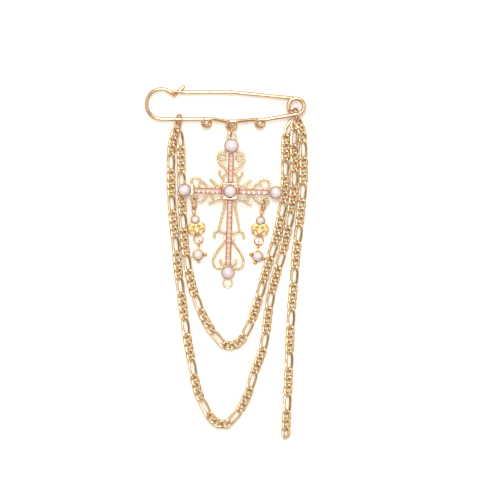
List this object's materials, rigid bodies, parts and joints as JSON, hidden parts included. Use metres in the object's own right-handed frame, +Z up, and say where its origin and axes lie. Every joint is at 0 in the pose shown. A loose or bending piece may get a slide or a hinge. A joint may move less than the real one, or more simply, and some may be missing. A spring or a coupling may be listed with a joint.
{
  "type": "kilt pin brooch",
  "caption": "Large safety pin brooch of bent gold wire with a jewelled cross pendant and draped figaro chain strands, lying flat.",
  "frame": {"origin": "centre of the bounding box's bottom face, on the surface the brooch lies on", "axes": "+X along the pin towards its coil, +Y across the brooch towards the pin's stem, +Z up from the surface"},
  "size_m": [0.0759, 0.1646, 0.0096],
  "materials": {
    "wire": "polished gold plate",
    "rings": "polished gold plate",
    "chain": "polished gold plate",
    "cast": "cast gold plate with fine texture",
    "drops": "cast gold plate",
    "pearl": "pearl lustre",
    "stone": "cut, pink"
  },
  "bodies": {
    "brooch": {"pin_frame": "wire", "left_arm_ring": "rings", "left_chain_ring": "rings", "coil_ring": "rings", "pendant_ring": "rings", "cross_body": "cast", "pearl_top": "pearl", "pearl_left": "pearl", "pearl_right": "pearl", "pearl_bottom": "pearl", "pearl_centre": "pearl", "stones_top": "stone", "stones_left": "stone", "stones_right": "stone", "stones_bottom": "stone", "drop_ring_left": "rings", "drop_fleur_left": "drops", "drop_pearl_left": "pearl", "drop_mid_ring_left": "rings", "drop_tip_left": "drops", "drop_tip_pearl_left": "pearl", "drop_ring_right": "rings", "drop_fleur_right": "drops", "drop_pearl_right": "pearl", "drop_mid_ring_right": "rings", "drop_tip_right": "drops", "drop_tip_pearl_right": "pearl", "chain_outer": "chain", "chain_inner": "chain", "chain_free": "chain"},
    "stem": {"pin_stem": "wire"}
  },
  "joints": [
    {"name": "stem_spring", "type": "hinge", "parent": "brooch", "child": "stem", "pos_m": [0.03295, 0.0725, 0.00285], "axis": [0, 0, -1], "range_deg": [0, 25], "stiffness_Nm_per_rad": 0.01}
  ]
}
